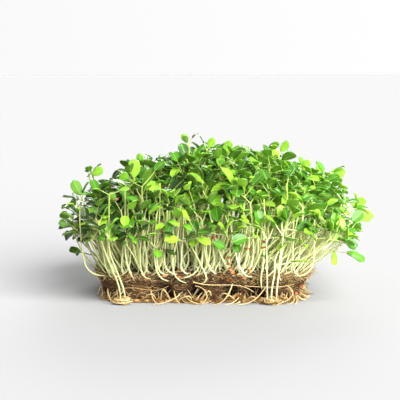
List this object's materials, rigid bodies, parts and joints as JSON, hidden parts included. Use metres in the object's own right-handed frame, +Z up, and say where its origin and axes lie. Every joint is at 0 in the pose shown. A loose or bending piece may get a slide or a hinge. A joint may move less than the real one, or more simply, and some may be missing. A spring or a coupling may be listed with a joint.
{
  "type": "microgreens block",
  "caption": "Block of leafy microgreens standing on its root-bound mat, lifted out of its growing tray, with loose roots round the foot.",
  "frame": {"origin": "middle of the underside of the root mat, on the surface that it stands on", "axes": "+X along the mat's long side, -Y to its front, +Z up"},
  "size_m": [0.1601, 0.1013, 0.0809],
  "materials": {
    "root_mat": "matt, damp, fibrous",
    "root_felt": "matt, matted threads",
    "foliage": "satin leaf",
    "stem": "moist, half clear",
    "husk": "dull seed coat"
  },
  "bodies": {
    "root": {"root_mat": "root_mat", "root_felt": "root_felt", "bunch_01": "foliage", "bunch_02": "foliage", "bunch_03": "foliage", "bunch_04": "foliage", "bunch_05": "foliage", "bunch_06": "foliage", "bunch_07": "foliage", "bunch_08": "foliage", "bunch_09": "foliage", "bunch_10": "foliage", "bunch_11": "foliage", "bunch_12": "foliage", "bunch_13": "foliage", "bunch_14": "foliage", "bunch_15": "foliage", "bunch_16": "foliage", "bunch_17": "foliage", "bunch_18": "foliage", "bunch_19": "foliage", "bunch_20": "foliage", "bunch_21": "foliage", "bunch_22": "foliage", "bunch_23": "foliage", "bunch_24": "foliage", "edge_bunch_left": "foliage", "edge_bunch_right": "foliage"}
  },
  "joints": []
}
